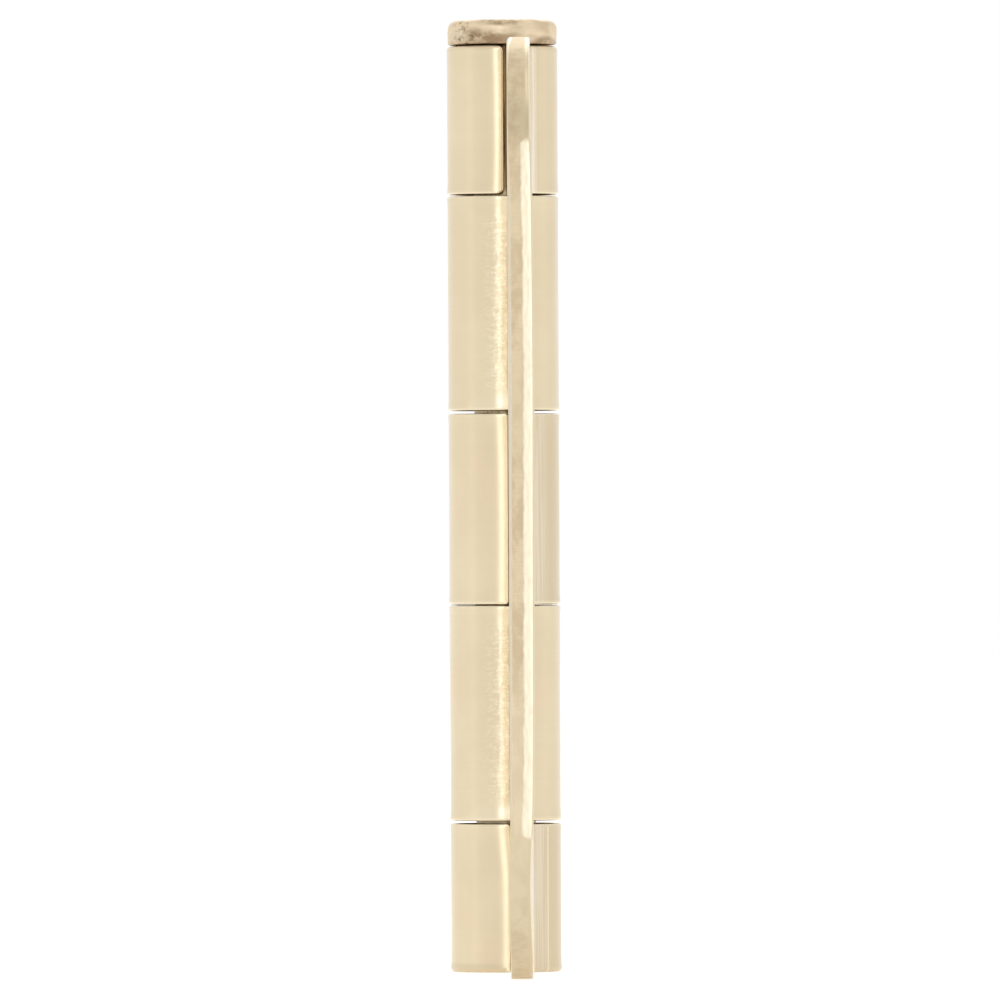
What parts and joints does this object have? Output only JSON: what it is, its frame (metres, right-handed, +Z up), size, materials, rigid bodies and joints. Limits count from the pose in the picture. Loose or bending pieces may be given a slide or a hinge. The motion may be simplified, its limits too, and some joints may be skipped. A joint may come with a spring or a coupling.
{
  "type": "radius corner door hinge",
  "caption": "Full-mortise butt door hinge with radius-cornered leaves, curled knuckles, countersunk screw holes and a lift-out headed pin, opened flat.",
  "frame": {"origin": "on the pin's axis at the barrel's lower end", "axes": "+Z up the pin to its head, +X along the jamb leaf, -Y out of the countersunk faces"},
  "size_m": [0.1016, 0.0122, 0.1045],
  "materials": {
    "satin_brass": "satin",
    "pin_brass": "dull, tarnished"
  },
  "bodies": {
    "jamb": {"jamb_leaf": "satin_brass"},
    "door": {"door_leaf": "satin_brass"},
    "pin": {"hinge_pin": "pin_brass"}
  },
  "joints": [
    {"name": "leaf_swing", "type": "hinge", "parent": "jamb", "child": "door", "pos_m": [0, 0, 0.0508], "axis": [0, 0, 1], "range_deg": [-125, 180]},
    {"name": "pin_lift", "type": "slide", "parent": "jamb", "child": "pin", "axis": [0, 0, 1], "range_m": [0, 0.105]}
  ]
}
